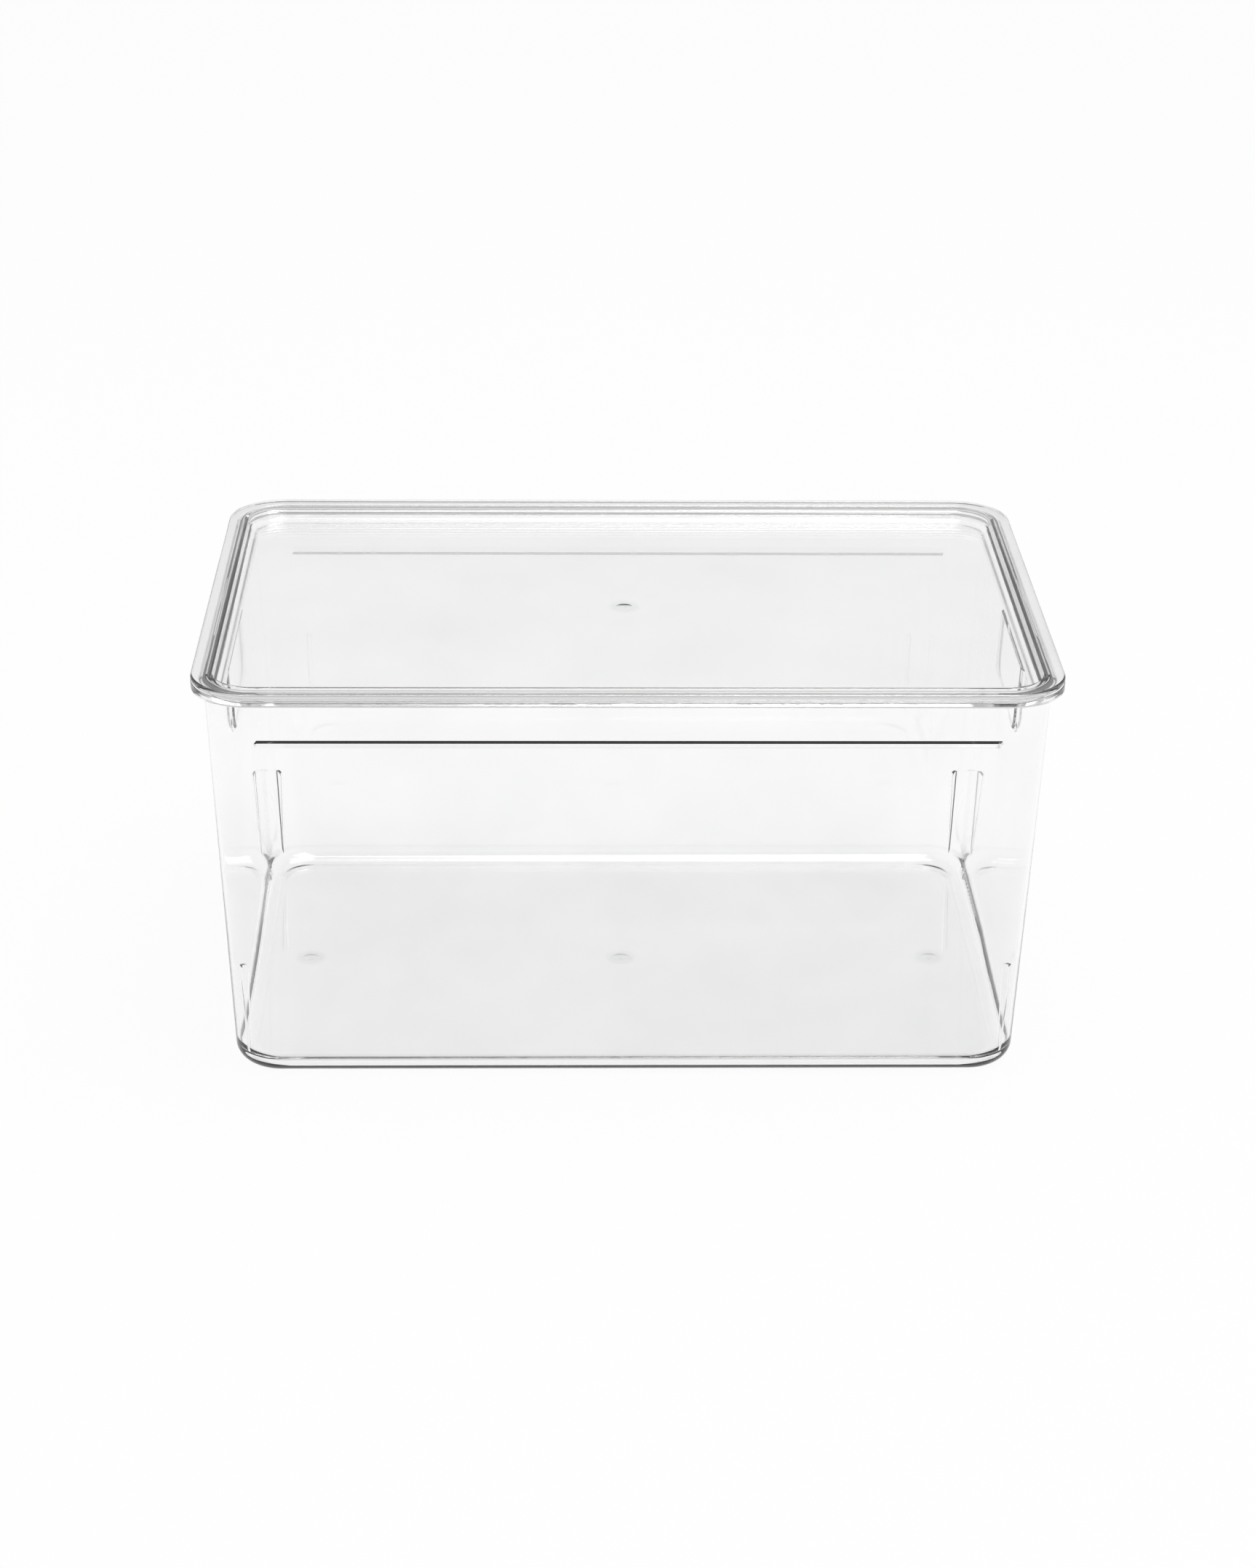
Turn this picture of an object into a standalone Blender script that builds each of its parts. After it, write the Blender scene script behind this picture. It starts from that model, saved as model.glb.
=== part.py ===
"""Clear stackable storage box: a drafted tub with a rim flange, and a lift-off lid whose sunk panel
takes the base of the next box. Metres, +Z up, origin in the middle of the base."""

import math
from collections import namedtuple

import bmesh
import bpy
from mathutils import Vector

# Box with its lid on, measured over the rim
BOX_LENGTH = 0.300
BOX_WIDTH = 0.198
BOX_HEIGHT = 0.1515
RIM_CORNER_RADIUS = 0.021

# Fit of the lid in the tub
SEAT_GAP = 0.0003
PLUG_CLEARANCE = 0.0004

# Tub flange and walls
FLANGE_THICKNESS = 0.0026
FLANGE_OVERHANG = 0.0044
FLANGE_EDGE_FILLET = 0.0003
FLANGE_ROOT_FILLET = 0.0019
WALL_TAPER = 0.0057
WALL = 0.0013

# A low bead along the inside of the front and back walls, from one corner to the other
BEAD_DROP = 0.0171
BEAD_HEIGHT = 0.0027
BEAD_DEPTH = 0.0007
BEAD_RUN_OUT = 0.0013

# Tub base
BASE_CORNER_RADIUS = 0.0170
BASE_FILLET = 0.0065
FLOOR_THICKNESS = 0.0023
FLOOR_FILLET = 0.0075
FLOOR_CORNER_SHARE = 0.2

# Finger grips pressed into the end walls
GRIP_WIDTH = 0.056
GRIP_DROP = 0.0178
GRIP_HEIGHT = 0.0238
GRIP_DEPTH = 0.0016
GRIP_CORNER_RADIUS = 0.0060

# Nesting ribs: a thin upright fin in each corner, on which the next empty tub stops; its foot ends
# inside the rounded base, at this share of the base fillet
RIB_THICKNESS = 0.0012
RIB_HEIGHT = 0.0400
RIB_TOP_DEPTH = 0.0028
RIB_TOP_RADIUS = 0.0020
RIB_FOOT_SHARE = 0.75

# Moulding gates: wells under the tub floor and under the lid panel, each with the stub left in it;
# the outer two lie this far in from the ends of the rim
GATE_END_DISTANCE = 0.032
GATE_WELL_DIAMETER = 0.0075
GATE_WELL_DEPTH = 0.0005
GATE_STUB_DIAMETER = 0.0016
GATE_STUB_HEIGHT = 0.0003
LID_GATE_WELL_DIAMETER = 0.0070

# Lid
LID_EDGE_THICKNESS = 0.0020
LID_EDGE_FILLET = 0.0009
LID_INNER_FILLET = 0.0004
PLUG_WALL = 0.0017
PLUG_ROOT_FILLET = 0.0012
PANEL_DROP = 0.0061
PANEL_THICKNESS = 0.0020
PANEL_FILLET = 0.0040
PANEL_UNDER_FILLET = 0.0030

# Cutters reach this far past the faces that they open
CUT_OVERRUN = 0.0020

# Facets in a quarter turn, seen from above and in the section
CORNER_STEPS = 12
LARGE_FILLET_STEPS = 7
FILLET_STEPS = 3
ROUND_STEPS = 32

RIM_TOP = BOX_HEIGHT - LID_EDGE_THICKNESS - SEAT_GAP
FLANGE_UNDERSIDE = RIM_TOP - FLANGE_THICKNESS
BEAD_TOP = RIM_TOP - BEAD_DROP
GRIP_TOP = RIM_TOP - GRIP_DROP
LID_UNDERSIDE = BOX_HEIGHT - LID_EDGE_THICKNESS
PANEL_TOP = BOX_HEIGHT - PANEL_DROP
PANEL_UNDERSIDE = PANEL_TOP - PANEL_THICKNESS
GATE_SPACING = BOX_LENGTH / 2 - GATE_END_DISTANCE

# A corner of the wall's section: how far in from the rim's outline it lies, its height, the plan
# radius of the ring there, the fillet that rounds the corner and how much of the plan radius is lost
# for each step inwards along that fillet
SectionCorner = namedtuple("SectionCorner", "inset height plan_radius fillet steps loss")


def section_corner(inset, height, plan_radius, fillet=0.0, steps=FILLET_STEPS, loss=1.0):
    return SectionCorner(inset, height, plan_radius, fillet, steps, loss)


def rim_corner(inset, height, fillet=0.0):
    """A section corner on a ring that runs parallel to the rim's outline."""
    return section_corner(inset, height, RIM_CORNER_RADIUS - inset, fillet)


def wall_corner(height, thickness, fillet=0.0, steps=FILLET_STEPS, loss=1.0):
    """A section corner on the drafted wall, the given thickness in from its outer face."""
    rise = height / FLANGE_UNDERSIDE
    inset = FLANGE_OVERHANG + WALL_TAPER * (1.0 - rise)
    top_radius = RIM_CORNER_RADIUS - FLANGE_OVERHANG
    radius = BASE_CORNER_RADIUS + (top_radius - BASE_CORNER_RADIUS) * rise
    return section_corner(inset + thickness, height, radius - thickness, fillet, steps, loss)


def middle(height):
    """The guide that a section starts from or runs to, in the middle of the box."""
    return section_corner(BOX_WIDTH / 2, height, 0.0)


def rounded_section(corners):
    """The rings of a section: each corner between the two guides, rounded by its fillet."""
    rings = []
    for before, corner, after in zip(corners, corners[1:], corners[2:]):
        here = Vector((corner.inset, corner.height))
        back = (Vector((before.inset, before.height)) - here).normalized()
        ahead = (Vector((after.inset, after.height)) - here).normalized()
        half_angle = back.angle(ahead) / 2
        centre = here + (back + ahead).normalized() * (corner.fillet / math.sin(half_angle))
        tangent = corner.fillet / math.tan(half_angle)
        first = (here + back * tangent - centre).normalized()
        last = (here + ahead * tangent - centre).normalized()
        for step in range(corner.steps + 1):
            point = centre + first.slerp(last, step / corner.steps) * corner.fillet
            radius = corner.plan_radius - corner.loss * (point.x - corner.inset)
            rings.append((point.x, point.y, radius))
    return rings


def ring_points(inset, height, radius):
    """A rounded rectangle, the given inset inside the rim's outline."""
    half_x = BOX_LENGTH / 2 - inset - radius
    half_y = BOX_WIDTH / 2 - inset - radius
    points = []
    for quarter, (side_x, side_y) in enumerate(((1, 1), (-1, 1), (-1, -1), (1, -1))):
        for step in range(CORNER_STEPS + 1):
            angle = (quarter + step / CORNER_STEPS) * math.pi / 2
            points.append(
                Vector((
                    side_x * half_x + radius * math.cos(angle),
                    side_y * half_y + radius * math.sin(angle),
                    height,
                ))
            )
    return points


def add_lofted_body(bm, outlines):
    """A closed body skinned over outlines with equal counts of points, capped at both ends."""
    rows = [[bm.verts.new(point) for point in outline] for outline in outlines]
    for row, next_row in zip(rows, rows[1:]):
        for quad in zip(row, row[1:] + row[:1], next_row[1:] + next_row[:1], next_row):
            bm.faces.new(quad)
    bm.faces.new(rows[0])
    bm.faces.new(rows[-1])


def add_cylinder(bm, x, y, low, high, diameter):
    """An upright cylinder between two heights."""
    made = bmesh.ops.create_cone(
        bm,
        cap_ends=True,
        segments=ROUND_STEPS,
        radius1=diameter / 2,
        radius2=diameter / 2,
        depth=high - low,
    )
    bmesh.ops.translate(bm, verts=made["verts"], vec=Vector((x, y, (low + high) / 2)))


def finish_object(bm, name):
    """The bmesh as an object of the scene, its faces pointing out."""
    bmesh.ops.recalc_face_normals(bm, faces=bm.faces)
    mesh = bpy.data.meshes.new(name)
    bm.to_mesh(mesh)
    bm.free()
    mesh.shade_smooth()
    mesh.set_sharp_from_angle(angle=math.radians(35))
    obj = bpy.data.objects.new(name, mesh)
    bpy.context.scene.collection.objects.link(obj)
    return obj


def use_as_tool(tool, target, operation):
    """Joins a guide shape to the target, or cuts it out of the target."""
    tool.hide_render = True
    tool.display_type = "WIRE"
    modifier = target.modifiers.new(tool.name, "BOOLEAN")
    modifier.object = tool
    modifier.operation = operation
    modifier.solver = "EXACT"


def clear_plastic(name, colour, roughness):
    """Colourless moulded plastic with a polished face."""
    material = bpy.data.materials.new(name)
    material.use_nodes = True
    shader = material.node_tree.nodes["Principled BSDF"]
    shader.inputs["Base Color"].default_value = colour
    shader.inputs["Roughness"].default_value = roughness
    shader.inputs["Metallic"].default_value = 0.0
    shader.inputs["IOR"].default_value = 1.57
    shader.inputs["Transmission Weight"].default_value = 1.0
    return material


def tub_shell():
    """The open tub: base, drafted wall, flange, rim, and the inside down to the floor."""
    section = [
        middle(0.0),
        wall_corner(0.0, 0.0, BASE_FILLET, LARGE_FILLET_STEPS),
        wall_corner(FLANGE_UNDERSIDE, 0.0, FLANGE_ROOT_FILLET),
        rim_corner(0.0, FLANGE_UNDERSIDE, FLANGE_EDGE_FILLET),
        rim_corner(0.0, RIM_TOP, FLANGE_EDGE_FILLET),
        wall_corner(RIM_TOP, WALL, FLANGE_EDGE_FILLET),
        wall_corner(FLOOR_THICKNESS, WALL, FLOOR_FILLET, LARGE_FILLET_STEPS, FLOOR_CORNER_SHARE),
        middle(FLOOR_THICKNESS),
    ]
    bm = bmesh.new()
    add_lofted_body(bm, [ring_points(*ring) for ring in rounded_section(section)])
    return finish_object(bm, "storage_tub")


def grip_outline(side, inner_x, top, growth):
    """The grip's outline on a face parallel to the end wall: a flat top and round lower corners.

    inner_x gives the distance from the middle of the box at a height, and growth widens the outline
    at its sides and its foot.
    """
    half = GRIP_WIDTH / 2 + growth
    foot = GRIP_TOP - GRIP_HEIGHT - growth
    radius = GRIP_CORNER_RADIUS + growth
    outline = [(half, top)]
    for step in range(CORNER_STEPS + 1):
        angle = step / CORNER_STEPS * math.pi / 2
        outline.append((
            half - radius + radius * math.cos(angle),
            foot + radius - radius * math.sin(angle),
        ))
    mirrored = [(-y, z) for y, z in reversed(outline)]
    return [Vector((side * inner_x(z), y, z)) for y, z in outline + mirrored]


def grip_body(bm, side, face_thickness, reach, top):
    """A grip shape whose face lies parallel to the end wall.

    The face stands GRIP_DEPTH inside the wall's face at face_thickness, and the body widens at 45
    degrees on its way out to reach beyond that wall face.
    """
    def face_x(height):
        wall_face = wall_corner(height, face_thickness)
        return BOX_LENGTH / 2 - wall_face.inset - GRIP_DEPTH

    travel = GRIP_DEPTH + reach
    inner = grip_outline(side, face_x, top, 0.0)
    outer = grip_outline(side, lambda height: face_x(height) + travel, top, travel)
    add_lofted_body(bm, [inner, outer])


def grip_pads():
    """The inward bulge of both grips, set into the inside of the end walls."""
    bm = bmesh.new()
    for side in (-1, 1):
        grip_body(bm, side, WALL, WALL / 2, GRIP_TOP)
    return finish_object(bm, "grip_pads")


def grip_pockets():
    """The hollow of both grips in the outside of the end walls."""
    bm = bmesh.new()
    for side in (-1, 1):
        grip_body(bm, side, 0.0, CUT_OVERRUN, GRIP_TOP - WALL)
    return finish_object(bm, "grip_pockets")


def wall_beads():
    """The low three-sided bead inside the front and back walls, sinking into the wall at its ends."""
    steepness = BEAD_HEIGHT / 2 / BEAD_DEPTH
    buried = WALL / 2
    crest_height = BEAD_TOP - BEAD_HEIGHT / 2
    face = wall_corner(crest_height, WALL)
    end = BOX_LENGTH / 2 - face.inset - face.plan_radius
    sunk_depth = -buried / 2
    bm = bmesh.new()
    for side in (-1, 1):

        def bead_point(x, inwards, height):
            y = BOX_WIDTH / 2 - wall_corner(height, WALL).inset - inwards
            return Vector((x, side * y, height))

        outlines = []
        full = end - BEAD_RUN_OUT
        for x, depth in (
            (-end, sunk_depth), (-full, BEAD_DEPTH), (full, BEAD_DEPTH), (end, sunk_depth)
        ):
            outlines.append([
                bead_point(x, -buried, BEAD_TOP + buried * steepness),
                bead_point(x, depth, crest_height),
                bead_point(x, -buried, BEAD_TOP - BEAD_HEIGHT - buried * steepness),
            ])
        add_lofted_body(bm, outlines)
    return finish_object(bm, "wall_beads")


def corner_ribs():
    """Four thin upright fins, one in each corner, with an upright inner edge and a rounded top."""
    top = FLOOR_THICKNESS + RIB_HEIGHT
    foot = BASE_FILLET * RIB_FOOT_SHARE
    bm = bmesh.new()
    for side_x in (-1, 1):
        for side_y in (-1, 1):
            outward = Vector((side_x, side_y, 0.0)).normalized()
            half = Vector((-side_y, side_x, 0.0)).normalized() * RIB_THICKNESS / 2

            def wall_point(height):
                face = wall_corner(height, WALL)
                reach = face.inset + face.plan_radius
                centre_x = side_x * (BOX_LENGTH / 2 - reach)
                centre_y = side_y * (BOX_WIDTH / 2 - reach)
                return Vector((centre_x, centre_y, height)) + outward * face.plan_radius

            buried = outward * WALL / 2
            edge_top = wall_point(top) - outward * RIB_TOP_DEPTH
            outline = [edge_top - Vector((0.0, 0.0, top - foot))]
            for step in range(CORNER_STEPS + 1):
                angle = step / CORNER_STEPS * math.pi / 2
                shift = outward * RIB_TOP_RADIUS * (1.0 - math.cos(angle))
                drop = RIB_TOP_RADIUS * (1.0 - math.sin(angle))
                outline.append(edge_top + shift - Vector((0.0, 0.0, drop)))
            outline.append(wall_point(top) + buried)
            outline.append(wall_point(foot) + buried)
            add_lofted_body(bm, [[point + offset for point in outline] for offset in (-half, half)])
    return finish_object(bm, "corner_ribs")


def floor_gate_wells():
    """Three shallow round wells along the middle of the base."""
    bm = bmesh.new()
    for place in (-1, 0, 1):
        add_cylinder(
            bm, place * GATE_SPACING, 0.0, -CUT_OVERRUN, GATE_WELL_DEPTH, GATE_WELL_DIAMETER
        )
    return finish_object(bm, "floor_gate_wells")


def floor_gate_stubs():
    """The broken-off gates, which stay inside their wells."""
    bm = bmesh.new()
    for place in (-1, 0, 1):
        low = GATE_WELL_DEPTH - GATE_STUB_HEIGHT
        add_cylinder(bm, place * GATE_SPACING, 0.0, low, FLOOR_THICKNESS / 2, GATE_STUB_DIAMETER)
    return finish_object(bm, "floor_gate_stubs")


def storage_tub():
    tub = tub_shell()
    use_as_tool(grip_pads(), tub, "UNION")
    use_as_tool(wall_beads(), tub, "UNION")
    use_as_tool(corner_ribs(), tub, "UNION")
    use_as_tool(grip_pockets(), tub, "DIFFERENCE")
    use_as_tool(floor_gate_wells(), tub, "DIFFERENCE")
    use_as_tool(floor_gate_stubs(), tub, "UNION")
    tub.data.materials.append(clear_plastic("clear_tub_plastic", (0.93, 0.95, 0.95, 1.0), 0.04))
    return tub


def lid_shell():
    """The lid: a flat rim, a plug wall that drops into the tub, and a sunk flat panel."""
    plug_outside = WALL + PLUG_CLEARANCE
    plug_inside = plug_outside + PLUG_WALL
    section = [
        middle(PANEL_UNDERSIDE),
        wall_corner(PANEL_UNDERSIDE, plug_outside, PANEL_UNDER_FILLET, LARGE_FILLET_STEPS),
        wall_corner(LID_UNDERSIDE, plug_outside, PLUG_ROOT_FILLET),
        rim_corner(0.0, LID_UNDERSIDE, LID_EDGE_FILLET),
        rim_corner(0.0, BOX_HEIGHT, LID_EDGE_FILLET),
        wall_corner(BOX_HEIGHT, plug_inside, LID_INNER_FILLET),
        wall_corner(PANEL_TOP, plug_inside, PANEL_FILLET, LARGE_FILLET_STEPS),
        middle(PANEL_TOP),
    ]
    bm = bmesh.new()
    add_lofted_body(bm, [ring_points(*ring) for ring in rounded_section(section)])
    return finish_object(bm, "lid")


def lid_gate_well():
    """One shallow well in the middle of the panel's underside."""
    bm = bmesh.new()
    high = PANEL_UNDERSIDE + GATE_WELL_DEPTH
    add_cylinder(bm, 0.0, 0.0, PANEL_UNDERSIDE - CUT_OVERRUN, high, LID_GATE_WELL_DIAMETER)
    return finish_object(bm, "lid_gate_well")


def lid_gate_stub():
    """The broken-off gate, which stays inside its well."""
    bm = bmesh.new()
    low = PANEL_UNDERSIDE + GATE_WELL_DEPTH - GATE_STUB_HEIGHT
    high = PANEL_UNDERSIDE + PANEL_THICKNESS / 2
    add_cylinder(bm, 0.0, 0.0, low, high, GATE_STUB_DIAMETER)
    return finish_object(bm, "lid_gate_stub")


def lid():
    cover = lid_shell()
    use_as_tool(lid_gate_well(), cover, "DIFFERENCE")
    use_as_tool(lid_gate_stub(), cover, "UNION")
    cover.data.materials.append(clear_plastic("clear_lid_plastic", (0.94, 0.95, 0.95, 1.0), 0.04))
    return cover


for old_object in list(bpy.data.objects):
    bpy.data.objects.remove(old_object)

storage_tub()
lid()
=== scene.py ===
"""Clear stackable storage box with a lift-off lid, on a plain pale floor in soft studio light."""

import math

import bmesh
import bpy
from mathutils import Matrix, Vector


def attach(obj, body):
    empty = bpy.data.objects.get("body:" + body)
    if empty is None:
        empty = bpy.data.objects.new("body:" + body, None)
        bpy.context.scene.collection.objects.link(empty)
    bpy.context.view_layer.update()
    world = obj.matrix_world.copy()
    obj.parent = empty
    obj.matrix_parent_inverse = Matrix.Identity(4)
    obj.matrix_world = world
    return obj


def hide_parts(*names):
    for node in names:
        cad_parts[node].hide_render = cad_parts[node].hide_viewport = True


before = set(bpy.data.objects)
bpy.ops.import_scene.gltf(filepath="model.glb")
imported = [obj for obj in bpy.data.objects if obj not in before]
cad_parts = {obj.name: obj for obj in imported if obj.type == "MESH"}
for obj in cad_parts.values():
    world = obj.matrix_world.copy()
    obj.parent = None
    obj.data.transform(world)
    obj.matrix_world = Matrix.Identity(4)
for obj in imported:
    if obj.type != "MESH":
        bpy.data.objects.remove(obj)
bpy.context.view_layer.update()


# Tub shell: the open box itself, one injection moulding in clear, colourless polystyrene. A drafted
# core and cavity form it in one shot, so its walls lean out towards a flat rim flange, the base
# turns up into them in a wide curve, and every edge carries the radius of the mould.
BOX_LENGTH = 0.300
BOX_WIDTH = 0.198
BOX_HEIGHT = 0.1515
RIM_CORNER_RADIUS = 0.021
LID_EDGE_THICKNESS = 0.0020
SEAT_GAP = 0.0003
FLANGE_THICKNESS = 0.0026
FLANGE_OVERHANG = 0.0044
FLANGE_EDGE_FILLET = 0.0003
FLANGE_ROOT_FILLET = 0.0019
WALL_TAPER = 0.0057
WALL = 0.0013
BASE_CORNER_RADIUS = 0.0170
BASE_FILLET = 0.0065
FLOOR_THICKNESS = 0.0023
FLOOR_FILLET = 0.0075
FLOOR_CORNER_SHARE = 0.2
CORNER_STEPS = 24
BASE_STEPS = 12
EDGE_STEPS = 6
FLOOR_STEPS = 14
SHARPEST_CURVE = math.radians(24)

RIM_TOP = BOX_HEIGHT - LID_EDGE_THICKNESS - SEAT_GAP
FLANGE_UNDERSIDE = RIM_TOP - FLANGE_THICKNESS


def rim_line(inset, height):
    """A line of the section that runs parallel to the rim: its inset, height and corner radius."""
    return inset, height, RIM_CORNER_RADIUS - inset


def wall_line(height, thickness):
    """A line of the section on the drafted wall, that thickness in from its outer face."""
    rise = height / FLANGE_UNDERSIDE
    inset = FLANGE_OVERHANG + WALL_TAPER * (1.0 - rise)
    top_radius = RIM_CORNER_RADIUS - FLANGE_OVERHANG
    radius = BASE_CORNER_RADIUS + (top_radius - BASE_CORNER_RADIUS) * rise
    return inset + thickness, height, radius - thickness


def middle(height):
    """The guide in the middle of the box that a section starts from or ends at."""
    return BOX_WIDTH / 2, height, 0.0


def arc_centre(line, side_x, side_y):
    """The centre of one corner's arc on a line of the section."""
    inset, height, radius = line
    reach = inset + radius
    return Vector((side_x * (BOX_LENGTH / 2 - reach), side_y * (BOX_WIDTH / 2 - reach), height))


def of_kind(items, kind):
    """The items that are of that kind of bmesh element."""
    return [item for item in items if isinstance(item, kind)]


def round_off(bm, items, radius, steps, affect):
    """Rounds the edges, or the corners of a flat face, to that radius."""
    bmesh.ops.bevel(
        bm,
        geom=items,
        offset=radius,
        offset_type="OFFSET",
        segments=steps,
        profile=0.5,
        affect=affect,
        material=-1,
    )


def first_outline(bm, inset, height, radius):
    """A flat face with rounded corners, from which a moulding is drawn up."""
    corners = bmesh.ops.create_grid(bm, x_segments=1, y_segments=1, size=0.5)["verts"]
    size = Vector((BOX_LENGTH - 2 * inset, BOX_WIDTH - 2 * inset, 1.0))
    bmesh.ops.scale(bm, verts=corners, vec=size)
    bmesh.ops.translate(bm, verts=corners, vec=Vector((0.0, 0.0, height)))
    round_off(bm, corners, radius, CORNER_STEPS, "VERTICES")
    bm.faces.ensure_lookup_table()
    return bm.faces[0]


def draw_to(bm, face, here, there):
    """Draws the face on to the next line of the section, and gives the new end face."""
    grown = bmesh.ops.extrude_face_region(bm, geom=[face])["geom"]
    left_inside = len(face.edges[0].link_faces) == 3
    if left_inside:
        bmesh.ops.delete(bm, geom=[face], context="FACES_ONLY")
    verts = of_kind(grown, bmesh.types.BMVert)
    share = there[2] / here[2]
    for side_x in (-1, 1):
        for side_y in (-1, 1):
            corner = [v for v in verts if v.co.x * side_x > 0 and v.co.y * side_y > 0]
            old = arc_centre(here, side_x, side_y)
            bmesh.ops.scale(
                bm, verts=corner, vec=Vector((share, share, 1.0)), space=Matrix.Translation(-old)
            )
            move = arc_centre(there, side_x, side_y) - old
            bmesh.ops.translate(bm, verts=corner, vec=move)
    return of_kind(grown, bmesh.types.BMFace)[0]


def rounded(before, line, after, fillet, steps, loss=1.0):
    """The line of the section swept round a fillet between the lines before and after it."""
    here = Vector(line[:2])
    back = (Vector(before[:2]) - here).normalized()
    ahead = (Vector(after[:2]) - here).normalized()
    half_angle = back.angle(ahead) / 2
    centre = here + (back + ahead).normalized() * (fillet / math.sin(half_angle))
    tangent = fillet / math.tan(half_angle)
    first = (here + back * tangent - centre).normalized()
    last = (here + ahead * tangent - centre).normalized()
    for step in range(steps + 1):
        point = centre + first.slerp(last, step / steps) * fillet
        yield point.x, point.y, line[2] - loss * (point.x - line[0])


def draw_moulding(bm, start, lines, end):
    """Draws a closed moulding up its section: each line with its fillet, steps and loss."""
    path = []
    guides = [start] + [line[0] for line in lines] + [end]
    for before, (line, *fillet), after in zip(guides, lines, guides[2:]):
        path.extend(rounded(before, line, after, *fillet))
    face = first_outline(bm, *path[0])
    for here, there in zip(path, path[1:]):
        face = draw_to(bm, face, here, there)
    bmesh.ops.recalc_face_normals(bm, faces=bm.faces)


def shade(mesh):
    """Shades the mesh smooth but for its real edges."""
    mesh.shade_smooth()
    mesh.set_sharp_from_angle(angle=SHARPEST_CURVE)


def to_object(bm, name):
    """The finished bmesh as an object at the origin."""
    mesh = bpy.data.meshes.new(name)
    bm.to_mesh(mesh)
    bm.free()
    shade(mesh)
    piece = bpy.data.objects.new(name, mesh)
    bpy.context.scene.collection.objects.link(piece)
    return piece


tub_mesh = bmesh.new()
draw_moulding(
    tub_mesh,
    middle(0.0),
    [
        (wall_line(0.0, 0.0), BASE_FILLET, BASE_STEPS),
        (wall_line(FLANGE_UNDERSIDE, 0.0), FLANGE_ROOT_FILLET, EDGE_STEPS),
        (rim_line(0.0, FLANGE_UNDERSIDE), FLANGE_EDGE_FILLET, EDGE_STEPS),
        (rim_line(0.0, RIM_TOP), FLANGE_EDGE_FILLET, EDGE_STEPS),
        (wall_line(RIM_TOP, WALL), FLANGE_EDGE_FILLET, EDGE_STEPS),
        (wall_line(FLOOR_THICKNESS, WALL), FLOOR_FILLET, FLOOR_STEPS, FLOOR_CORNER_SHARE),
    ],
    middle(FLOOR_THICKNESS),
)
tub = to_object(tub_mesh, "clear_tub")


# Finger grips: a shallow pocket in the outside of each end wall, a little below the rim, with a pad
# of the same depth bulging inside so that the wall keeps its thickness. They are part of the tub's
# own moulding; the mouth's sides slope at 45 degrees and its lower corners are well rounded.
GRIP_WIDTH = 0.056
GRIP_DROP = 0.0178
GRIP_HEIGHT = 0.0238
GRIP_DEPTH = 0.0016
GRIP_CORNER_RADIUS = 0.0060
GRIP_CORNER_STEPS = 16
GRIP_FILLET = 0.0005
GRIP_FILLET_STEPS = 4
TOUCHING = 0.00001
WELD_DISTANCE = 0.000001
GRIP_TOP = RIM_TOP - GRIP_DROP
GRIP_FOOT = GRIP_TOP - GRIP_HEIGHT
WALL_LEAN = WALL_TAPER / FLANGE_UNDERSIDE


def grip_shape(name, side, face_thickness, reach, top):
    """A block whose inner face lies GRIP_DEPTH inside the wall's face at that thickness."""
    rise = top + GRIP_DEPTH + reach - GRIP_FOOT
    lift = Matrix.Translation((0.0, 0.0, GRIP_FOOT + rise / 2))
    upright = Matrix(((0, 0, side, 0), (1, 0, 0, 0), (0, 1, 0, 0), (0, 0, 0, 1)))
    bm = bmesh.new()
    outline = bmesh.ops.create_grid(bm, x_segments=1, y_segments=1, size=0.5)["verts"]
    bmesh.ops.scale(bm, verts=outline, vec=Vector((GRIP_WIDTH, rise, 1.0)))
    lower = [v for v in outline if v.co.y < 0]
    round_off(bm, lower, GRIP_CORNER_RADIUS, GRIP_CORNER_STEPS, "VERTICES")
    bmesh.ops.transform(bm, matrix=lift @ upright, verts=bm.verts)

    travel = GRIP_DEPTH + reach
    spread = Vector((1.0, 1 + 2 * travel / GRIP_WIDTH, 1 + 2 * travel / rise))
    grown = bmesh.ops.extrude_face_region(bm, geom=bm.faces[:])["geom"]
    mouth = of_kind(grown, bmesh.types.BMVert)
    bmesh.ops.scale(bm, verts=mouth, vec=spread, space=lift.inverted())
    bmesh.ops.translate(bm, verts=mouth, vec=Vector((side * travel, 0.0, 0.0)))
    cut = bmesh.ops.bisect_plane(
        bm,
        geom=bm.verts[:] + bm.edges[:] + bm.faces[:],
        plane_co=Vector((0.0, 0.0, top)),
        plane_no=Vector((0.0, 0.0, 1.0)),
        clear_outer=True,
    )
    bmesh.ops.contextual_create(bm, geom=of_kind(cut["geom_cut"], bmesh.types.BMEdge))
    inner_edges = [
        e
        for e in bm.edges
        if all(abs(v.co.x) < TOUCHING for v in e.verts)
        and not all(abs(v.co.z - top) < TOUCHING for v in e.verts)
    ]

    inset = wall_line(0.0, face_thickness)[0]
    place = Matrix.Translation((side * (BOX_LENGTH / 2 - inset - GRIP_DEPTH), 0.0, 0.0))
    lean = Matrix(((1, 0, side * WALL_LEAN, 0), (0, 1, 0, 0), (0, 0, 1, 0), (0, 0, 0, 1)))
    bmesh.ops.transform(bm, matrix=place @ lean, verts=bm.verts)
    bmesh.ops.recalc_face_normals(bm, faces=bm.faces)
    round_off(bm, inner_edges, GRIP_FILLET, GRIP_FILLET_STEPS, "EDGES")
    return to_object(bm, name)


def weld(mesh):
    """Closes the zero-size faces that a join leaves where an edge meets an edge."""
    bm = bmesh.new()
    bm.from_mesh(mesh)
    bmesh.ops.remove_doubles(bm, verts=bm.verts, dist=WELD_DISTANCE)
    bmesh.ops.dissolve_degenerate(bm, edges=bm.edges, dist=WELD_DISTANCE)
    bm.to_mesh(mesh)
    bm.free()


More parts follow.
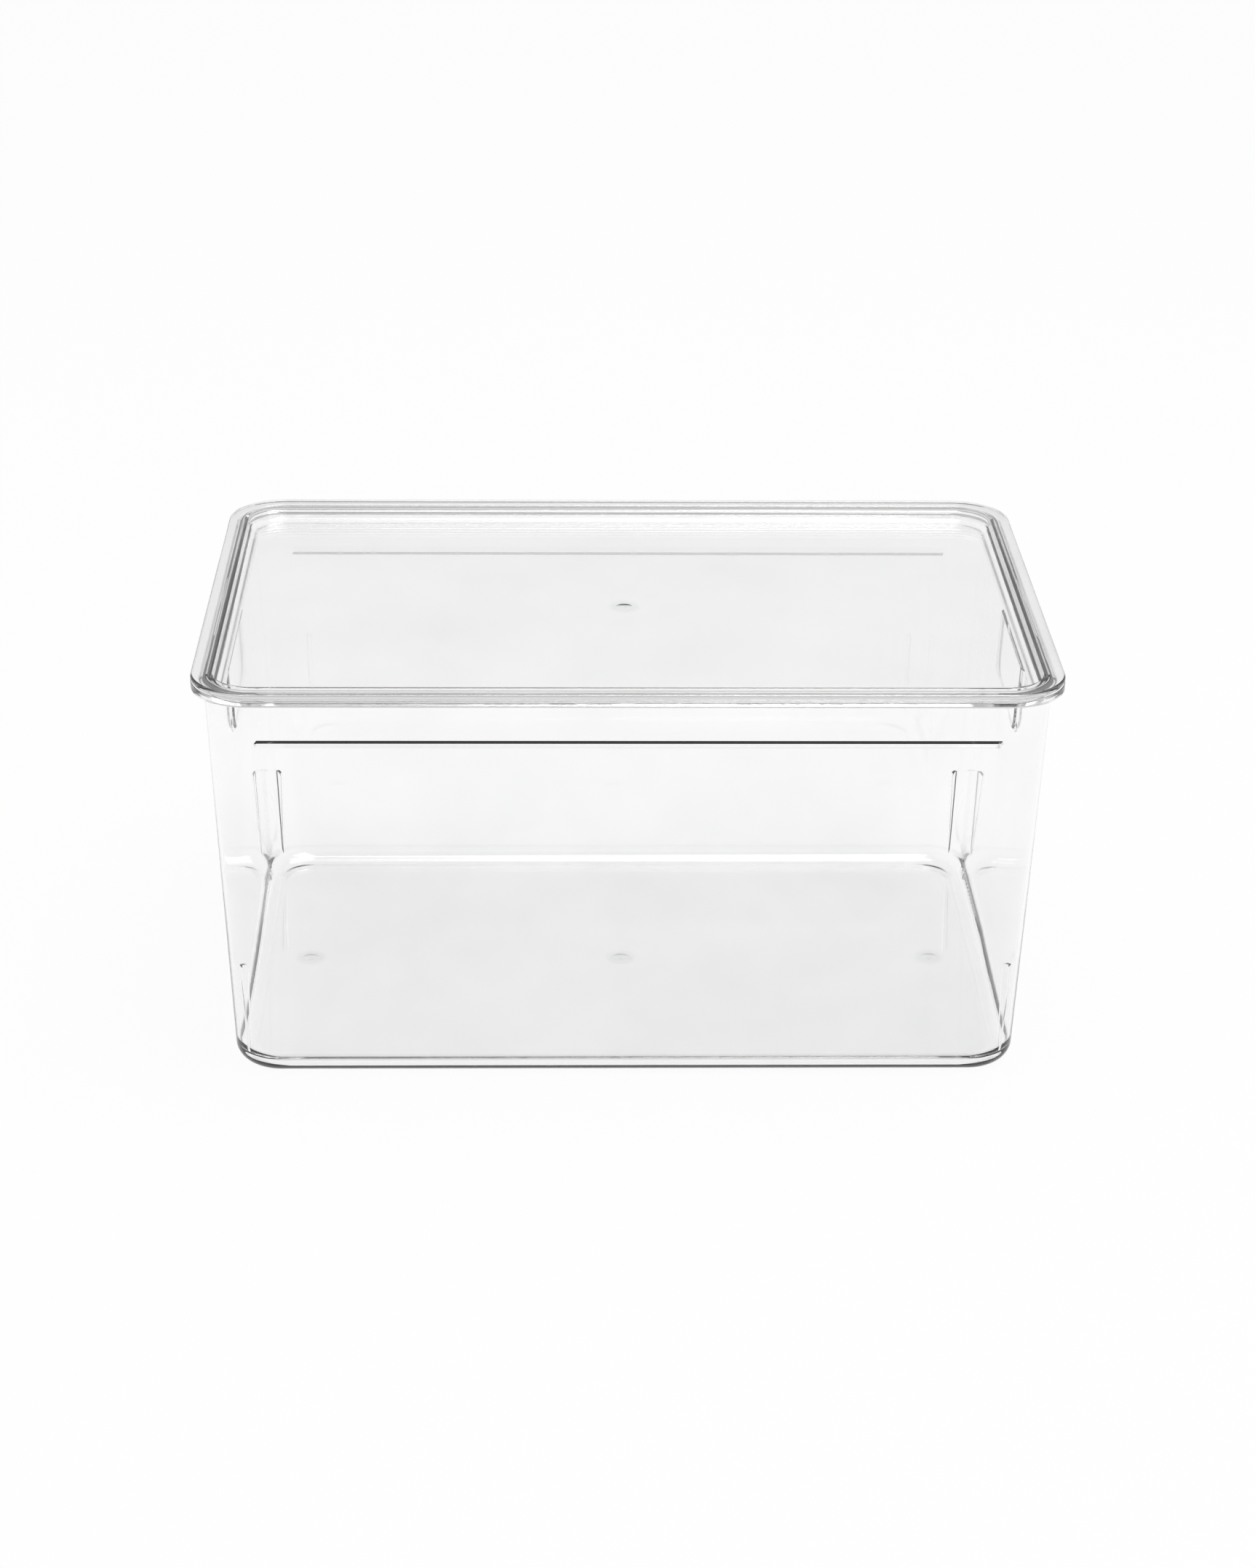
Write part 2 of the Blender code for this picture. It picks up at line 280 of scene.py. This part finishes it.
def join_shapes(piece, shapes, operation):
    """Adds the shapes to the piece or cuts them out, and drops them from the scene."""
    for shape in shapes:
        step = piece.modifiers.new(shape.name, "BOOLEAN")
        step.object = shape
        step.operation = operation
        step.solver = "EXACT"
    bpy.context.view_layer.update()
    solid = piece.evaluated_get(bpy.context.evaluated_depsgraph_get())
    mesh = bpy.data.meshes.new_from_object(solid)
    weld(mesh)
    piece.modifiers.clear()
    piece.data = mesh
    for shape in shapes:
        bpy.data.objects.remove(shape)


pads = [grip_shape("grip_pad", side, WALL, WALL / 2, GRIP_TOP) for side in (-1, 1)]
pockets = [
    grip_shape("grip_pocket", side, 0.0, 2 * GRIP_DEPTH, GRIP_TOP - WALL) for side in (-1, 1)
]


# Wall beads: a low three-sided bead along the inside of the front and of the back wall, just below
# the lid's plug. It belongs to the tub's moulding and sinks into the wall where the corners begin.
BEAD_DROP = 0.0171
BEAD_HEIGHT = 0.0027
BEAD_DEPTH = 0.0007
BEAD_RUN_OUT = 0.0013
BEAD_CREST_FLAT = 0.0002
BEAD_CREST = RIM_TOP - BEAD_DROP - BEAD_HEIGHT / 2


def wall_bead(side):
    """The bead for the front or the back: a prism whose crest dips into the wall at both ends."""
    inset, height, radius = wall_line(BEAD_CREST, WALL)
    end = BOX_LENGTH / 2 - inset - radius
    buried = WALL / 2
    foot_height = BEAD_HEIGHT * (1 + buried / BEAD_DEPTH)
    bm = bmesh.new()
    bar = bmesh.ops.create_cube(bm, size=1.0)["verts"]
    bmesh.ops.scale(bm, verts=bar, vec=Vector((2 * end, BEAD_DEPTH + buried, foot_height)))
    bmesh.ops.translate(bm, verts=bar, vec=Vector((0.0, (BEAD_DEPTH - buried) / 2, 0.0)))
    crest = [v for v in bar if v.co.y > 0]
    bmesh.ops.scale(bm, verts=crest, vec=Vector((1.0, 1.0, BEAD_CREST_FLAT / foot_height)))
    for x in (BEAD_RUN_OUT - end, end - BEAD_RUN_OUT):
        bmesh.ops.bisect_plane(
            bm,
            geom=bm.verts[:] + bm.edges[:] + bm.faces[:],
            plane_co=Vector((x, 0.0, 0.0)),
            plane_no=Vector((1.0, 0.0, 0.0)),
        )
    tips = [v for v in bm.verts if v.co.y > 0 and abs(v.co.x) > end - BEAD_RUN_OUT / 2]
    dip = BEAD_DEPTH + buried / 2
    bmesh.ops.translate(bm, verts=tips, vec=Vector((0.0, -dip, 0.0)))
    # The sides of the dips are skewed, so the diagonal that they fold along is part of the shape.
    bmesh.ops.triangulate(bm, faces=bm.faces[:], quad_method="ALTERNATE")
    lean = Matrix(((1, 0, 0, 0), (0, 1, -WALL_LEAN, 0), (0, 0, 1, 0), (0, 0, 0, 1)))
    turn = Matrix(((1, 0, 0, 0), (0, -side, 0, 0), (0, 0, 1, 0), (0, 0, 0, 1)))
    place = Matrix.Translation((0.0, side * (BOX_WIDTH / 2 - inset), height))
    bmesh.ops.transform(bm, matrix=place @ turn @ lean, verts=bm.verts)
    bmesh.ops.recalc_face_normals(bm, faces=bm.faces)
    return to_object(bm, "wall_bead")


beads = [wall_bead(side) for side in (-1, 1)]


# Nesting ribs: a thin upright fin across the inside of each corner, moulded with the tub, with an
# upright inner edge and a rounded top. The rim of an empty tub set into this one stops on them, so
# that the two don't jam.
RIB_THICKNESS = 0.0012
RIB_HEIGHT = 0.0400
RIB_TOP_DEPTH = 0.0028
RIB_TOP_RADIUS = 0.0020
RIB_TOP_STEPS = 12
RIB_EDGE_FILLET = 0.0002
RIB_EDGE_STEPS = 4
RIB_FOOT_SHARE = 0.75


def corner_rib(side_x, side_y):
    """The fin for one corner: a plate whose back leans with the wall's draft."""
    outward = Vector((side_x, side_y, 0.0)).normalized()

    def wall_point(height):
        line = wall_line(height, WALL)
        return arc_centre(line, side_x, side_y) + outward * line[2]

    top = FLOOR_THICKNESS + RIB_HEIGHT
    foot = BASE_FILLET * RIB_FOOT_SHARE
    lean = (wall_point(top) - wall_point(foot)).dot(outward)
    depth = RIB_TOP_DEPTH + WALL / 2
    bm = bmesh.new()
    plate = bmesh.ops.create_cube(bm, size=1.0)["verts"]
    bmesh.ops.scale(bm, verts=plate, vec=Vector((depth, RIB_THICKNESS, top - foot)))
    crown = [e for e in bm.edges if all(v.co.x < 0 and v.co.z > 0 for v in e.verts)]
    round_off(bm, crown, RIB_TOP_RADIUS, RIB_TOP_STEPS, "EDGES")
    back_foot = [v for v in bm.verts if v.co.x > 0 and v.co.z < 0]
    bmesh.ops.translate(bm, verts=back_foot, vec=Vector((-lean, 0.0, 0.0)))
    front = [
        e
        for e in bm.edges
        if abs(e.verts[0].co.y - e.verts[1].co.y) < RIB_THICKNESS / 2
        and all(v.co.x < depth / 2 - lean for v in e.verts)
        and max(v.co.z for v in e.verts) > 0
    ]
    round_off(bm, front, RIB_EDGE_FILLET, RIB_EDGE_STEPS, "EDGES")
    turn = Matrix.Rotation(math.atan2(outward.y, outward.x), 4, "Z")
    plate_centre = wall_point(top) + outward * (WALL / 2 - depth / 2)
    plate_centre.z = (top + foot) / 2
    bmesh.ops.transform(bm, matrix=Matrix.Translation(plate_centre) @ turn, verts=bm.verts)
    bmesh.ops.recalc_face_normals(bm, faces=bm.faces)
    return to_object(bm, "corner_rib")


ribs = [corner_rib(side_x, side_y) for side_x in (-1, 1) for side_y in (-1, 1)]


# Gate marks of the tub: three shallow dished wells along the middle of the base, where the mould's
# hot runners met the part. Each holds the broken-off stub of plastic, just below the well's face.
GATE_END_DISTANCE = 0.032
GATE_WELL_DIAMETER = 0.0075
GATE_WELL_DEPTH = 0.00015
GATE_STUB_DIAMETER = 0.0016
GATE_STUB_HEIGHT = 0.0001
GATE_STUB_STEPS = 48
DISH_STEPS_ROUND = 64
DISH_STEPS_DOWN = 320
GATE_SPACING = BOX_LENGTH / 2 - GATE_END_DISTANCE


def gate_stub(x, face, top):
    """The stub in the well under that face; its upper end is buried in the plastic."""
    foot = face + GATE_WELL_DEPTH - GATE_STUB_HEIGHT
    bm = bmesh.new()
    peg = bmesh.ops.create_cone(
        bm,
        cap_ends=True,
        segments=GATE_STUB_STEPS,
        radius1=GATE_STUB_DIAMETER / 2,
        radius2=GATE_STUB_DIAMETER / 2,
        depth=top - foot,
    )
    bmesh.ops.translate(bm, verts=peg["verts"], vec=Vector((x, 0.0, (foot + top) / 2)))
    return to_object(bm, "gate_stub")


def gate_dish(x, face, diameter):
    """A ball that dips GATE_WELL_DEPTH into the face above it, in a circle of that diameter."""
    radius = ((diameter / 2) ** 2 + GATE_WELL_DEPTH**2) / (2 * GATE_WELL_DEPTH)
    bm = bmesh.new()
    ball = bmesh.ops.create_uvsphere(
        bm, u_segments=DISH_STEPS_ROUND, v_segments=DISH_STEPS_DOWN, radius=radius
    )
    drop = Vector((x, 0.0, face + GATE_WELL_DEPTH - radius))
    bmesh.ops.translate(bm, verts=ball["verts"], vec=drop)
    return to_object(bm, "gate_dish")


gate_places = [place * GATE_SPACING for place in (-1, 0, 1)]
wells = [gate_dish(x, 0.0, GATE_WELL_DIAMETER) for x in gate_places]
stubs = [gate_stub(x, 0.0, FLOOR_THICKNESS / 2) for x in gate_places]
join_shapes(tub, pads + beads + ribs, "UNION")
join_shapes(tub, pockets + wells, "DIFFERENCE")
join_shapes(tub, stubs, "UNION")


# Tub plastic: clear, colourless polystyrene with a polished face. The walls carry the faint
# waviness and clouds of a thin moulding, each gate has a cloudy spot with flow rings around it, and
# fine scuffs dull the base. The stiff flange stays clear and even.
class Mask:
    """A number that varies over the surface; its operators add Math nodes."""

    def __init__(self, finish, socket):
        self.finish = finish
        self.socket = socket

    def math(self, operation, first, second=0.0):
        return self.finish.add(
            "ShaderNodeMath", {"operation": operation}, {0: first, 1: second}
        )

    def other(self, name):
        """The output of that name beside this one, on the same node."""
        return Mask(self.finish, self.socket.node.outputs[name])

    def __add__(self, other):
        return self.math("ADD", self, other)

    def __radd__(self, other):
        return self.math("ADD", other, self)

    def __sub__(self, other):
        return self.math("SUBTRACT", self, other)

    def __rsub__(self, other):
        return self.math("SUBTRACT", other, self)

    def __mul__(self, other):
        return self.math("MULTIPLY", self, other)

    def __rmul__(self, other):
        return self.math("MULTIPLY", other, self)


class Finish:
    """The nodes of a material or of the room, with one method that adds any of them."""

    def __init__(self, owner):
        self.owner = owner
        owner.use_nodes = True
        self.tree = owner.node_tree

    def add(self, kind, settings, inputs, output=0):
        """Adds a node with its settings and inputs, and gives one of its outputs."""
        node = self.tree.nodes.new(kind)
        for name, value in settings.items():
            if name == "stops":
                self.set_stops(node.color_ramp, value)
            else:
                setattr(node, name, value)
        for name, value in inputs.items():
            self.feed(self.socket_named(node.inputs, name), value)
        return Mask(self, self.socket_named(node.outputs, output))

    def socket_named(self, sockets, name):
        """The socket in use of that name or place: some nodes hold several of one name."""
        if isinstance(name, int):
            return sockets[name]
        return next(socket for socket in sockets if socket.name == name and socket.enabled)

    def set_stops(self, ramp, stops):
        """Gives a colour ramp its stops, each a place and a shade of grey."""
        while len(ramp.elements) > 1:
            ramp.elements.remove(ramp.elements[-1])
        for place, grey in stops:
            stop = ramp.elements[0] if place == stops[0][0] else ramp.elements.new(place)
            stop.position = place
            stop.color = (grey, grey, grey, 1.0)

    def feed(self, socket, value):
        """Links a varying value to the socket, or sets a fixed one on it."""
        if isinstance(value, Mask):
            self.tree.links.new(value.socket, socket)
        else:
            socket.default_value = value

    def fade(self, value, start, end, first, last, curve="LINEAR"):
        """Goes from first to last while the value goes from start to end."""
        return self.add(
            "ShaderNodeMapRange",
            {"interpolation_type": curve},
            {0: value, 1: start, 2: end, 3: first, 4: last},
        )

    def set(self, kind, **inputs):
        """Sets inputs of the shader or output of that name."""
        for name, value in inputs.items():
            self.feed(self.tree.nodes[kind].inputs[name.replace("_", " ")], value)


CLEAR = (1.0, 1.0, 1.0, 1.0)
CLOUDED = (0.880, 0.885, 0.890, 1.0)
ABSORBED = (0.0, 0.0, 0.0, 1.0)
ABSORPTION = 1.0
CLEAR_IOR = 1.57
CLOUD_SCALE = 22.0
CLOUD_DETAIL = 3.0
CLOUD_ROUGHNESS = 0.55
CLOUD_RANGE = (0.35, 0.70)
CLOUD_TINT = 0.25
HAZE_RANGE = (0.60, 0.80)
HAZE_ROUGHNESS = 0.04
GATE_SPOT_RANGE = (0.0030, 0.0070)
GATE_SPOT_TINT = 0.75
GATE_SPOT_EVENNESS = 0.5
FLOW_RANGE = (0.002, 0.030)
FLOW_RING_PITCH = 0.002618
FLOW_RING_WOBBLE = 6.0
FLOW_RING_SHARE = 0.012
SCRATCH_SCALE = 420.0
SCRATCH_STRETCH = 0.06
SCRATCH_DETAIL = 1.0
SCRATCH_BREAKS = 0.7
SCRATCH_RANGE = (0.56, 0.70)
WORN_ROUGHNESS = 0.06
WEAR_REACH = 0.0030
WAVE_HEIGHT = 0.00006
WAVE_STRENGTH = 0.5


def clear_moulding(plastic, gate_places, worn_height, even_height):
    """Clear plastic that is scuffed near the worn height and smooth above the even height."""
    place = plastic.add("ShaderNodeTexCoord", {}, {}, "Object")
    height = plastic.add("ShaderNodeSeparateXYZ", {}, {0: place}, "Z")
    clouds = plastic.add(
        "ShaderNodeTexNoise",
        {},
        {
            "Vector": place,
            "Scale": CLOUD_SCALE,
            "Detail": CLOUD_DETAIL,
            "Roughness": CLOUD_ROUGHNESS,
        },
    )
    cloudy = plastic.fade(clouds, *CLOUD_RANGE, 0.0, 1.0)
    hazy = plastic.fade(clouds, *HAZE_RANGE, 0.0, 1.0)
    wavy = plastic.fade(height, even_height - WEAR_REACH, even_height, 1.0, 0.0, "SMOOTHSTEP")

    ground = plastic.add(
        "ShaderNodeVectorMath", {"operation": "MULTIPLY"}, {0: place, 1: (1.0, 1.0, 0.0)}
    )
    from_gate = FLOW_RANGE[1]
    for x in gate_places:
        reach = plastic.add(
            "ShaderNodeVectorMath",
            {"operation": "DISTANCE"},
            {0: ground, 1: (x, 0.0, 0.0)},
            "Value",
        )
        from_gate = height.math("MINIMUM", reach, from_gate)
    gate_spot = plastic.fade(from_gate, *GATE_SPOT_RANGE, 1.0, 0.0, "SMOOTHSTEP")
    flow = plastic.fade(from_gate, *FLOW_RANGE, 1.0, 0.0, "SMOOTHSTEP")
    wobble = FLOW_RING_WOBBLE * clouds
    rings = height.math("SINE", from_gate * (2 * math.pi / FLOW_RING_PITCH) + wobble)

    along_scratch = plastic.add(
        "ShaderNodeMapping", {}, {"Vector": place, "Scale": (1.0, SCRATCH_STRETCH, 1.0)}
    )
    scratches = plastic.add(
        "ShaderNodeTexNoise",
        {},
        {
            "Vector": along_scratch,
            "Scale": SCRATCH_SCALE,
            "Detail": SCRATCH_DETAIL,
            "Roughness": SCRATCH_BREAKS,
        },
    )
    scratched = plastic.fade(scratches, *SCRATCH_RANGE, 0.0, 1.0)
    from_worn = height.math("ABSOLUTE", height - worn_height)
    worn = plastic.fade(from_worn, 0.0, WEAR_REACH, 1.0, 0.0)

    spot_tint = GATE_SPOT_TINT * (gate_spot * (GATE_SPOT_EVENNESS + clouds))
    tint = plastic.add(
        "ShaderNodeMix",
        {"data_type": "RGBA"},
        {"Factor": CLOUD_TINT * cloudy + spot_tint, "A": CLEAR, "B": CLOUDED},
        "Result",
    )
    relief = plastic.add(
        "ShaderNodeBump",
        {},
        {
            "Strength": WAVE_STRENGTH,
            "Distance": WAVE_HEIGHT,
            "Height": wavy * (clouds + FLOW_RING_SHARE * flow * rings),
        },
        "Normal",
    )
    plastic.set(
        "Principled BSDF",
        Base_Color=tint,
        Roughness=HAZE_ROUGHNESS * (hazy * wavy) + WORN_ROUGHNESS * (worn * scratched),
        Normal=relief,
        IOR=CLEAR_IOR,
        Transmission_Weight=1.0,
    )
    body = plastic.add(
        "ShaderNodeVolumeAbsorption", {}, {"Color": ABSORBED, "Density": ABSORPTION}
    )
    plastic.set("Material Output", Volume=body)


def finish_moulding(piece, plastic):
    """Gives the piece its plastic, and lets its large flat faces rule the shading."""
    piece.data.materials.clear()
    piece.data.materials.append(plastic.owner)
    shade(piece.data)
    flat_walls = piece.modifiers.new("flat_walls", "WEIGHTED_NORMAL")
    flat_walls.mode = "FACE_AREA"
    flat_walls.keep_sharp = True


tub_plastic = Finish(bpy.data.materials.new("tub_plastic"))
clear_moulding(tub_plastic, gate_places, 0.0, FLANGE_UNDERSIDE)
finish_moulding(tub, tub_plastic)
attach(tub, "tub")
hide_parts("storage_tub")


# Lid: the lift-off cover, a second moulding in the same clear plastic. Its flat rim lies on the
# tub's flange, a plug wall drops just inside the tub, and the sunk panel, which the next box stands
# on and scuffs, has one gate mark underneath.
PLUG_CLEARANCE = 0.0004
LID_EDGE_FILLET = 0.0009
LID_INNER_FILLET = 0.0004
LID_INNER_STEPS = 4
PLUG_WALL = 0.0017
PLUG_ROOT_FILLET = 0.0012
PANEL_DROP = 0.0061
PANEL_THICKNESS = 0.0020
PANEL_FILLET = 0.0040
PANEL_UNDER_FILLET = 0.0030
PANEL_STEPS = 10
LID_GATE_WELL_DIAMETER = 0.0070

LID_UNDERSIDE = BOX_HEIGHT - LID_EDGE_THICKNESS
PANEL_TOP = BOX_HEIGHT - PANEL_DROP
PANEL_UNDERSIDE = PANEL_TOP - PANEL_THICKNESS
PLUG_OUTSIDE = WALL + PLUG_CLEARANCE
PLUG_INSIDE = PLUG_OUTSIDE + PLUG_WALL

lid_mesh = bmesh.new()
draw_moulding(
    lid_mesh,
    middle(PANEL_UNDERSIDE),
    [
        (wall_line(PANEL_UNDERSIDE, PLUG_OUTSIDE), PANEL_UNDER_FILLET, PANEL_STEPS),
        (wall_line(LID_UNDERSIDE, PLUG_OUTSIDE), PLUG_ROOT_FILLET, EDGE_STEPS),
        (rim_line(0.0, LID_UNDERSIDE), LID_EDGE_FILLET, EDGE_STEPS),
        (rim_line(0.0, BOX_HEIGHT), LID_EDGE_FILLET, EDGE_STEPS),
        (wall_line(BOX_HEIGHT, PLUG_INSIDE), LID_INNER_FILLET, LID_INNER_STEPS),
        (wall_line(PANEL_TOP, PLUG_INSIDE), PANEL_FILLET, PANEL_STEPS),
    ],
    middle(PANEL_TOP),
)
lid = to_object(lid_mesh, "clear_lid")
lid_well = gate_dish(0.0, PANEL_UNDERSIDE, LID_GATE_WELL_DIAMETER)
lid_stub = gate_stub(0.0, PANEL_UNDERSIDE, PANEL_UNDERSIDE + PANEL_THICKNESS / 2)
join_shapes(lid, [lid_well], "DIFFERENCE")
join_shapes(lid, [lid_stub], "UNION")

lid_plastic = Finish(bpy.data.materials.new("lid_plastic"))
clear_moulding(lid_plastic, [0.0], PANEL_UNDERSIDE, PANEL_TOP + WEAR_REACH)
finish_moulding(lid, lid_plastic)
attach(lid, "lid")
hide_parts("lid")


# Floor: a plain pale sheet of paper that the box stands on. It isn't part of the object. To the
# camera and through the plastic it shows mostly as plain white, and it keeps the box's soft shadow.
FLOOR_HALF_SIZE = 3.0
FLOOR_GAP = 0.0002
PAPER_COLOUR = (0.9, 0.9, 0.9, 1.0)
PAPER_ROUGHNESS = 0.9
WHITE = (1.0, 1.0, 1.0, 1.0)
CAMERA_WHITE = 0.95
PLASTIC_WHITE = 0.87

floor_mesh = bmesh.new()
sheet = bmesh.ops.create_grid(floor_mesh, x_segments=1, y_segments=1, size=FLOOR_HALF_SIZE)
bmesh.ops.translate(floor_mesh, verts=sheet["verts"], vec=Vector((0.0, 0.0, -FLOOR_GAP)))
floor = to_object(floor_mesh, "studio_floor")
paper = Finish(bpy.data.materials.new("floor_paper"))
paper.set("Principled BSDF", Base_Color=PAPER_COLOUR, Roughness=PAPER_ROUGHNESS)
direct = paper.add("ShaderNodeLightPath", {}, {}, "Is Camera Ray")
through = direct.math("MAXIMUM", direct.other("Is Glossy Ray"), direct.other("Is Transmission Ray"))
shown = direct.math("MAXIMUM", CAMERA_WHITE * direct, PLASTIC_WHITE * through)
white = paper.add("ShaderNodeEmission", {}, {"Color": WHITE, "Strength": 1.0})
lit = Mask(paper, paper.tree.nodes["Principled BSDF"].outputs["BSDF"])
paper.set(
    "Material Output", Surface=paper.add("ShaderNodeMixShader", {}, {0: shown, 1: lit, 2: white})
)
floor.data.materials.append(paper.owner)


# Studio: a light room, brightest low down behind the box and at both sides, greyer overhead and
# towards the camera, with one soft lamp above. The grey parts draw the fine dark lines along the
# edges of the clear plastic.
ROOM_FROM_BACK_TO_FRONT = (
    (0, 0.71),
    (6, 0.74),
    (12, 0.82),
    (18, 0.88),
    (24, 0.84),
    (30, 0.61),
    (36, 0.53),
    (44, 0.55),
    (66, 0.55),
    (90, 0.49),
    (114, 0.42),
    (136, 0.37),
    (180, 0.37),
)
SIDE_RANGE = (0.35, 0.70)
HIGH_RANGE = (0.50, 0.85)
SIDE_LOW = 1.10
SIDE_HIGH = 0.50
PLASTIC_BOUNCES = 36  # how often light may turn inside the clear walls
LAMP_PLACE = (0.3, -0.2, 1.6)
LAMP_TARGET = (0.0, 0.0, 0.1)
LAMP_SIZE = 0.9
LAMP_WATTS = 14.0

room = Finish(bpy.data.worlds.new("studio"))
bpy.context.scene.world = room.owner
direction = room.add("ShaderNodeTexCoord", {}, {}, "Generated")
sideways = room.add("ShaderNodeSeparateXYZ", {}, {0: direction}, "X")
upwards = sideways.other("Z")
turn = sideways.math("ARCTAN2", upwards, sideways.other("Y"))
half_turn_share = sideways.math("ABSOLUTE", turn) * (1 / math.pi)
stops = [(degrees / 180, grey) for degrees, grey in ROOM_FROM_BACK_TO_FRONT]
back_to_front = room.add("ShaderNodeValToRGB", {"stops": stops}, {"Fac": half_turn_share})
side_share = room.fade(sideways.math("ABSOLUTE", sideways), *SIDE_RANGE, 0.0, 1.0, "SMOOTHSTEP")
side_light = room.fade(upwards, *HIGH_RANGE, SIDE_LOW, SIDE_HIGH, "SMOOTHSTEP")
room_light = back_to_front + side_share * (side_light - back_to_front)
walls = room.add("ShaderNodeBackground", {}, {"Strength": room_light})
backdrop = room.add("ShaderNodeBackground", {}, {"Color": WHITE, "Strength": 1.0})
seen = room.add("ShaderNodeLightPath", {}, {}, "Is Camera Ray")
room.set(
    "World Output", Surface=room.add("ShaderNodeMixShader", {}, {0: seen, 1: walls, 2: backdrop})
)

lamp = bpy.data.lights.new("top_soft_box", "AREA")
lamp.shape = "SQUARE"
lamp.size = LAMP_SIZE
lamp.energy = LAMP_WATTS
soft_box = bpy.data.objects.new("top_soft_box", lamp)
soft_box.location = LAMP_PLACE
aim = Vector(LAMP_PLACE) - Vector(LAMP_TARGET)
soft_box.rotation_euler = aim.to_track_quat("Z", "Y").to_euler()
bpy.context.scene.collection.objects.link(soft_box)

bpy.context.scene.view_settings.view_transform = "Standard"
for limit in ("max_bounces", "glossy_bounces", "transmission_bounces"):
    setattr(bpy.context.scene.cycles, limit, PLASTIC_BOUNCES)


# Camera: a long lens a little over a metre in front of the box, slightly left of its middle and
# looking down on it, as in the photograph.
CAMERA_PLACE = (-0.02780, -1.14717, 0.58985)
CAMERA_PITCH = 0.422384622
CAMERA_YAW = 0.0258969437
CAMERA_ROLL = 0.0108344078
SENSOR_WIDTH = 36.0
LENS_LENGTH = 77.36

ahead = Vector((
    math.sin(CAMERA_YAW) * math.cos(CAMERA_PITCH),
    math.cos(CAMERA_YAW) * math.cos(CAMERA_PITCH),
    -math.sin(CAMERA_PITCH),
))
right = Vector((math.cos(CAMERA_YAW), -math.sin(CAMERA_YAW), 0.0))
level = Matrix((right, right.cross(ahead), -ahead)).transposed()
rolled = level @ Matrix.Rotation(CAMERA_ROLL, 3, "Z")
lens = bpy.data.cameras.new("studio_camera")
lens.sensor_width = SENSOR_WIDTH
lens.lens = LENS_LENGTH
camera = bpy.data.objects.new("studio_camera", lens)
camera.matrix_world = Matrix.Translation(CAMERA_PLACE) @ rolled.to_4x4()
bpy.context.scene.collection.objects.link(camera)
bpy.context.scene.camera = camera
